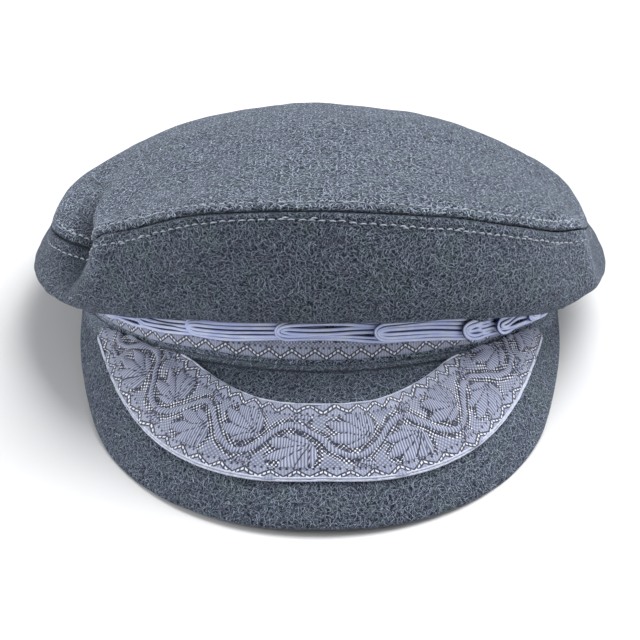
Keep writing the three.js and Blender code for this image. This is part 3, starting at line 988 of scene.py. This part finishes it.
def ribbon_weave(name, width, border):
    """Woven ribbon of that width, whose mesh carries the design as vine, leaf and rib."""
    recipe = Recipe(name)
    along, across = recipe.weave()
    vine, leaves, ribs = recipe.noted("vine"), recipe.noted("leaf"), recipe.noted("rib")
    floats = vine.most(leaves)
    on_float = floats.ease(-0.1, 0.12)
    threads = (along / THREAD_PITCH).wave() * 0.5 + 0.5
    dots = ((along / PIN_PITCH).wave() * (across / PIN_PITCH).wave()).ease(-0.05, 0.3)
    holes = (along / HOLE_PITCH).wave() * (across / HOLE_PITCH).wave() * -1
    outline = floats.distance_to(-0.6).ease(0.95, 0.6) * holes.ease(-0.25, 0.15)
    rib_holes = ((along + across * 0.6) / PIN_PITCH).wave().ease(-0.2, 0.25)
    from_edge = across.least(width - across)
    leg = (along / ZIGZAG_PITCH).fraction().distance_to(0.5) * 2
    slant = 1 / math.sqrt(1 + (2 * border / ZIGZAG_PITCH) ** 2)
    from_zigzag = ((from_edge - (0.6 + border * leg)) * slant).distance_to(0)
    dashes = (along / DASH_PITCH).fraction().distance_to(0.5).ease(0.38, 0.26)
    in_border = from_edge.ease(border + 1.7, border + 1.5)
    rule = from_edge.distance_to(border + 1.5).ease(0.55, 0.35)
    rule_dots = (along / RULE_PITCH).fraction().distance_to(0.5).ease(0.22, 0.12)

    black, dark = (0.012, 0.014, 0.032), (0.030, 0.035, 0.075)
    light, bright = (0.485, 0.53, 0.70), (0.86, 0.90, 1)
    deep, middle, shade = (0.10, 0.11, 0.18), (0.14, 0.155, 0.225), (0.12, 0.135, 0.22)
    floated = recipe.mix(threads * 0.9 + 0.05, deep, light)
    floated = recipe.mix(ribs.ease(0.25, 0.5) * rib_holes, floated, black)
    pinned = recipe.mix(dots, dark, bright)
    hatched = recipe.mix(dots * 0.6 + 0.15, middle, light)
    ground = recipe.mix(floats.ease(-2.1, -1.7), hatched, pinned)
    colour = recipe.mix(on_float, ground, floated)
    colour = recipe.mix(outline, colour, black)
    border_colour = recipe.mix(threads * 0.45 + 0.4, deep, light)
    border_colour = recipe.mix(from_zigzag.ease(0.95, 0.75) * 0.95, border_colour, black)
    border_colour = recipe.mix(from_zigzag.ease(0.38, 0.22) * dashes, border_colour, bright)
    colour = recipe.mix(in_border, colour, border_colour)
    colour = recipe.mix(rule * rule_dots, colour, black)
    patchy = recipe.noise(recipe.place(), 9, detail=2).ease(0.25, 0.75)
    colour = recipe.mix(patchy * 0.18, colour, shade)
    relief = recipe.bump(on_float * threads + (1 - on_float) * dots * 0.9, 0.25)
    return recipe.finish(
        colour, relief, roughness=0.5, sheen_weight=0.15, specular_ior_level=0.4, anisotropic=0.3,
    )


# %% [markdown]
# ## The ribbon on the peak
# The ribbon is woven straight and sewn in a curve, so the outer edge is stretched flat and the
# inner edge is gathered in a few pleats. To find a place's length and width in the flat ribbon,
# the nearest point of the outer edge is looked up: how far along that edge it is, less a share
# for the curve, and how far away it is.

# %% Its place on the peak
PEAK_RIBBON_END = 62
PEAK_RIBBON = table("bearing inner margin", mirrored([
    (0, 16.8, 17), (12, 15.6, 16.5), (21, 10.6, 16.5), (29, 4.4, 17.5), (35, 2.2, 19), (45, 1.4, 22.5),
    (54, 1.4, 25), (62, 1.6, 25),
]))
RIBBON_WALL = 1
RIBBON_FULL_WIDTH = 29.5
PLEATS = table("bearing lean width lift", [
    (-22, -5, 3.5, 0.8), (26, 5, 3.5, 0.8), (-47, -4, 4, 0.6), (50, 4, 4, 0.6),
])
PLEAT_TAKES = 1.8
WHOLE_WIDTH_END = 33
CURVE_SHARE = 0.86
PATTERN_SHIFT = 1.2
WIDE_BORDER = 2.7


def peak_ribbon_across(bearing, share):
    """How far across the peak the ribbon is: share 0 at its inner edge and 1 at its outer."""
    reach = read(PEAK, "reach", bearing)
    inner = read(PEAK_RIBBON, "inner", bearing) / reach
    outer = 1 - read(PEAK_RIBBON, "margin", bearing) / reach
    return inner + (outer - inner) * share


def flat_place(points, edge):
    """The length and width in the flat ribbon of points near its outer edge."""
    tree = KDTree(len(edge))
    for i, point in enumerate(edge):
        tree.insert(point, i)
    tree.balance()
    at = lengths(edge[None], 1)[0]
    run = unit(np.gradient(edge, axis=0))
    flat = points.reshape(-1, 3)
    nearest = np.array([tree.find(point)[1] for point in flat])
    away = flat - edge[nearest]
    ahead = (away * run[nearest]).sum(1)
    aside = np.linalg.norm(away - ahead[:, None] * run[nearest], axis=1)
    return np.stack([CURVE_SHARE * (at[nearest] + ahead), aside], -1).reshape(*points.shape[:2], 2)


RIBBON_COLUMNS, RIBBON_ROWS = 430, 66
ribbon_bearings = np.linspace(PEAK_RIBBON_END, -PEAK_RIBBON_END, RIBBON_COLUMNS)[None, :]
shares = np.linspace(0, 1, RIBBON_ROWS)[:, None]
on_peak = peak_ribbon_across(ribbon_bearings, shares)
top_of_peak = 0.5 * PEAK_THICKNESS + GAP + RIBBON_WALL
flat_ribbon = above_peak(ribbon_bearings, on_peak, top_of_peak + 0 * on_peak)
fine_bearings = np.linspace(PEAK_RIBBON_END + 6, -PEAK_RIBBON_END - 6, 700)[None, :]
fine_across = peak_ribbon_across(fine_bearings, np.ones((1, 1)))
outer_edge = above_peak(fine_bearings, fine_across, top_of_peak + 0 * fine_across)[0]
weave = flat_place(flat_ribbon, outer_edge)

pleat_height = 0
fade = 1 - 0.6 * shares
for pleat in rows_of(PLEATS):
    aside = (ribbon_bearings - pleat["bearing"] - pleat["lean"] * shares) / pleat["width"]
    pleat_height = pleat_height + pleat["lift"] * bell(aside) * fade
    weave[..., 0] -= PLEAT_TAKES * fade * np.tanh(2 * aside)

whole_width = np.abs(ribbon_bearings) < WHOLE_WIDTH_END
fit = RIBBON_FULL_WIDTH / weave[:1, :, 1].clip(1)
weave[..., 1] *= np.where(whole_width, fit, np.minimum(1, fit))
weave[..., 0] += PATTERN_SHIFT - weave[:, RIBBON_COLUMNS // 2, 0].mean()
weave[..., 0] += 0.25 * unevenness(flat_ribbon, wavelength=9, seed=41)
weave[..., 1] += 0.25 * unevenness(flat_ribbon, wavelength=8, seed=42)

vine, leaves, ribs = vine_design(weave[..., 0], weave[..., 1], RIBBON_FULL_WIDTH, WIDE_BORDER + 1.8)
raised = 0.25 * smooth((np.maximum(vine, leaves) + 0.2) / 0.5)
raised = raised + 0.4 * smooth(leaves / 1.2) + 0.35 * smooth(vine / 1.1) - 0.3 * ribs * (leaves > 0)
height = pleat_height + raised + 0.3 * unevenness(flat_ribbon, wavelength=9, seed=21)
ribbon_points = above_peak(ribbon_bearings, on_peak, top_of_peak + height)
peak_ribbon = cloth(
    "peak_ribbon_weave", ribbon_points, RIBBON_WALL, weave, vine=vine, leaf=leaves, rib=ribs
)
RIBBON = ribbon_weave("jacquard ribbon, wide", RIBBON_FULL_WIDTH, WIDE_BORDER)
dress(peak_ribbon, "peak_ribbon", RIBBON)

# %% [markdown]
# ## Tubes for cords and selvedges
# A cord is a grid too: its columns follow a line and its rows go round it. The line's own
# direction and the direction out of the cloth say how each ring of corners stands.

# %% A cord along a line
def cord(name, path, out, radius, sides=8, flatten=1):
    """A tube along a line of points. Out is the direction away from the cloth at each."""
    radius = np.broadcast_to(radius, len(path))[:, None]
    run = unit(np.gradient(path, axis=0))
    side = unit(np.cross(out, run))
    out = np.cross(run, side)
    turn = np.linspace(0, 2 * np.pi, sides + 1)[:, None, None]
    points = path + radius * (np.cos(turn) * side + flatten * np.sin(turn) * out)
    gone = lengths(path[None], 1)[0]
    around = np.linspace(0, 2 * np.pi * radius.max(), sides + 1)
    weave = np.stack(np.meshgrid(gone, around), -1)
    piece = cloth(name, points, weave=weave)
    close_ends(piece)
    return piece


def join(name, pieces):
    """One object from several, under a new name."""
    select(*pieces)
    bpy.ops.object.join()
    pieces[0].name = pieces[0].data.name = name
    return pieces[0]


# %% Selvedges of the peak's ribbon
def selvedge(name, bearing, share, aside, lift, radius, wander):
    """A smooth thread along an edge of the peak's ribbon."""
    on = peak_ribbon_across(bearing, share) + aside / read(PEAK, "reach", bearing)
    height = top_of_peak + lift
    path = above_peak(bearing[None], on[None], height + 0 * on[None])[0]
    higher = above_peak(bearing[None], on[None], height + 1 + 0 * on[None])[0]
    out = higher - path
    path = path + (wander * unevenness(path, wavelength=7, seed=31))[:, None] * out
    return cord(name, path, out, radius)


RIBBON_THREAD = thread("pale lavender thread", (0.60, 0.64, 0.78))
whole = np.linspace(PEAK_RIBBON_END, -PEAK_RIBBON_END, 330)
front = np.linspace(WHOLE_WIDTH_END, -WHOLE_WIDTH_END, 160)
edges = join("peak_ribbon_selvedges", [
    selvedge("outer_thread", whole, share=1, aside=0.1, lift=-0.15, radius=0.42, wander=0.15),
    selvedge("outer_thread_second", whole, share=1, aside=-0.75, lift=0.1, radius=0.36, wander=0.12),
    selvedge("inner_thread", front, share=0, aside=-0.1, lift=-0.1, radius=0.36, wander=0.15),
])
dress(edges, None, RIBBON_THREAD)

# %% [markdown]
# ## The ribbon round the band
# A narrower ribbon of the same weave is sewn round the band, above a strip of bare felt. In front
# the braid hides all but its lower border. Further round the whole of it shows under the hem.

# %% Band ribbon
BAND_RIBBON_UP = 4.0
BAND_RIBBON_WIDTH = 20
NARROW_BORDER = 3.1
BAND_RIBBON_COLUMNS, BAND_RIBBON_ROWS = 620, 28

band_ring = np.linspace(-180, 180, BAND_RIBBON_COLUMNS + 1)[None, :]
band_columns = band_ring[:, :-1]
up = np.linspace(0, BAND_RIBBON_WIDTH, BAND_RIBBON_ROWS)[:, None]
band_along = lengths(beside_band(band_ring, 0, 0), 1)
band_weave = np.stack(np.broadcast_arrays(band_along, up), -1)
whole_periods = VINE_PERIOD * round(band_along[0, -1] / VINE_PERIOD) / band_along[0, -1]
vine, leaves, ribs = vine_design(
    band_weave[..., 0] * whole_periods, band_weave[..., 1], BAND_RIBBON_WIDTH, NARROW_BORDER + 3.4
)
raised = 0.3 * smooth((np.maximum(vine, leaves) + 0.2) / 0.7)[:, :-1]
band_up = band_edge(band_columns) + BAND_RIBBON_UP + up
band_out = GAP + RIBBON_WALL + raised
ripple = 0.18 * unevenness(beside_band(band_columns, band_out, band_up), wavelength=14, seed=23)
band_ribbon_points = closed(beside_band(band_columns, band_out + ripple, band_up))
band_ribbon = cloth(
    "band_ribbon_weave", band_ribbon_points, RIBBON_WALL, band_weave, vine=vine, leaf=leaves, rib=ribs
)
NARROW_RIBBON = ribbon_weave("jacquard ribbon, narrow", BAND_RIBBON_WIDTH, NARROW_BORDER)
dress(band_ribbon, "band_ribbon", NARROW_RIBBON)

# %% [markdown]
# ## The braid
# Three satin cords are laid side by side, and each loop of them is drawn through the one before,
# as in a crochet chain. A loop is a long teardrop: round at its left end, which lies on top, and
# closing to its right, where it dives under the next loop's round end.

# %% Satin cord
CORD_RADIUS = 0.82


def satin(name):
    """Soft satin cord with a fine slanting twist, and painted shade on its flanks where cords touch."""
    recipe = Recipe(name)
    along, around = recipe.weave()
    outward_share = (around / (2 * math.pi * CORD_RADIUS)).wave()
    # Painted shade on each cord's flanks and underside, all but the crest that faces out.
    crevice = outward_share.ease(0.93, 0.46)
    twist = ((along + 1.3 * around) / 0.95).wave() * 0.5 + 0.5
    streak = recipe.noise(recipe.place(), 5, detail=2)
    # Partly the cord's lavender, partly painted light: set pale to lift the shade under the hem.
    light, middle, deep = (0.70, 0.77, 1), (0.57, 0.65, 1), (0.03, 0.04, 0.14)
    colour = recipe.mix(streak.ease(0.35, 0.65), middle, light)
    colour = recipe.mix((1 - twist) * 0.2, colour, deep)
    colour = recipe.mix(crevice, colour, deep)
    relief = recipe.bump(twist, 0.12)
    return recipe.finish(
        colour, relief, roughness=0.45, sheen_weight=0.1, anisotropic=0.5, specular_ior_level=0.4,
    )


# %% Loops of the braid
BRAID = table("bearing up", [
    (-80, -1), (-60, 6.5), (-40, 11.8), (-20, 15.4), (0, 17.5), (20, 14.6), (40, 8.6), (60, 4), (80, -1),
])
LOOP_STARTS = (-79, -69, -58, -44.6, -30.4, -9.4, 11.9, 33.1, 42.7, 55, 67, 76)
STRANDS = table("bight upper lower", [(3.2, 3.2, -4.4), (2.0, 1.75, -3.0), (0.85, 0.3, -1.5)])
LOOP_OVERLAP, BIGHT_LENGTH = 1.45, 4.2
band_bearings = np.linspace(-90, 90, 721)
band_gone = lengths(beside_band(band_bearings, 0, 0)[None], 1)[0]


def on_braid(gone, aside, out):
    """A point of the braid: how far along the band, above the braid's own line, and out."""
    bearing = np.interp(gone, band_gone, band_bearings)
    return beside_band(bearing, out, read(BRAID, "up", bearing) + aside)


def braid_strand(name, start, end, strand, seed):
    """One strand of one loop, from under the next loop round the bight and back."""
    random = np.random.default_rng(seed)
    length = LOOP_OVERLAP * (end - start) + 2
    turn = np.linspace(-1, 1, 73)
    back = np.abs(turn) ** 1.5
    gone = start + length * back + 0.9 * strand * (1 - back)
    bight = np.sqrt(1 - (1 - np.minimum(back * length / BIGHT_LENGTH, 1)) ** 2)
    height, above, below = (STRANDS[name][strand] for name in ("bight", "upper", "lower"))
    spread = smooth(back / 0.4)
    upper = height + (above - height) * spread
    lower = -height + (below + height) * spread + 0.5 * smooth((back - 0.6) / 0.4)
    wander = 0.4 * np.sin(np.pi * back * random.uniform(1.2, 2.6) + random.uniform(0, 6))
    aside = (np.where(turn > 0, upper, lower) + wander) * bight
    low = 2 * GAP + RIBBON_WALL + CORD_RADIUS
    out = low + 2.3 * (1 - smooth(back / 0.5)) + 0.4 * np.cos(7 * back + random.uniform(0, 6))
    path = on_braid(gone, aside, out)
    outer = on_braid(gone, aside, out + 1) - path
    thick = CORD_RADIUS * random.uniform(0.9, 1.12) * (1 - 0.7 * smooth((back - 0.88) / 0.12))
    return cord(name, path, outer, thick, sides=10, flatten=0.92)


starts = np.interp(LOOP_STARTS, band_bearings, band_gone)
braid = join("braid_cords", [
    braid_strand(f"strand_{loop}_{strand}", start, end, strand, 40 + 3 * loop + strand)
    for loop, (start, end) in enumerate(zip(starts, starts[1:]))
    for strand in range(len(STRANDS["bight"]))
])
dress(braid, "braid", satin("lavender satin"))

# %% [markdown]
# ## The buttons
# A small domed button covered in the cap's felt holds each end of the braid. It starts as a ball,
# has its lower third cut off by bisect, and is squashed to a dome.

# %% Buttons
BUTTON_BEARING = 76
BUTTON_RADIUS = 6
BUTTON_HEIGHT = 3
BUTTON_OUT = 3 * GAP + RIBBON_WALL + 3.4

bpy.ops.mesh.primitive_uv_sphere_add(segments=40, ring_count=24, radius=1)
dome = bpy.context.object
edit_all(dome, lambda: bpy.ops.mesh.bisect(
    plane_co=(0, 0, -0.35), plane_no=(0, 0, 1), clear_inner=True, use_fill=True))
corners, faces = model_of(dome)
corners = corners * (BUTTON_RADIUS, BUTTON_RADIUS, 0.74 * BUTTON_HEIGHT)
corners[:, 2] += 0.26 * BUTTON_HEIGHT
for side_name, turn in (("left", -1), ("right", 1)):
    bearing = np.array([turn * BUTTON_BEARING])
    up = read(BRAID, "up", bearing)
    origin = beside_band(bearing, BUTTON_OUT, up)
    out = beside_band(bearing, BUTTON_OUT + 1, up) - origin
    side = np.cross(np.array([[0, 0, 1.0]]), out)
    axes = np.stack([side, np.cross(out, side), out], 1)
    button = copies(f"button_{side_name}_cover", (corners, faces), origin, axes)
    dress(button, f"button_{side_name}", LIGHTENED_BAND_FELT)

# %% [markdown]
# ## Floor and light
# The photo was lit from above by something broad and soft, a little from the right and behind:
# the top of the crown is more than twice as bright as its front. Two weak lamps at the sides
# lift the crown's ends and the ribbon's, and a plain pale floor and surround do the rest.

# %% Floor
bpy.ops.mesh.primitive_plane_add(size=12, location=(0, 0, 0))
floor = bpy.context.object
floor.name = "floor"
paper = Recipe("white paper")
floor.data.materials.append(paper.finish((0.76, 0.76, 0.77), roughness=0.9, specular_ior_level=0.1))

# %% Light
surround = bpy.data.worlds.new("pale surround")
scene.world = surround
surround.use_nodes = True
background = surround.node_tree.nodes["Background"].inputs
background["Color"].default_value = (0.96, 0.98, 1, 1)
background["Strength"].default_value = 0.275


def softbox(name, place, size, power):
    """A square of light that looks at the cap."""
    bpy.ops.object.light_add(type="AREA", location=place)
    lamp = bpy.context.object
    lamp.name = name
    lamp.data.size = size
    lamp.data.energy = power
    towards = Vector((0, 0, 0.05)) - Vector(place)
    lamp.rotation_euler = towards.to_track_quat("-Z", "Y").to_euler()


softbox("overhead", (0.6, 0.3, 1.52), size=1.3, power=38)
softbox("side_left", (-1.5, -0.3, 0.6), size=1.0, power=18)
softbox("side_right", (1.5, -0.3, 0.6), size=1.0, power=9)
scene.view_settings.view_transform = "Standard"
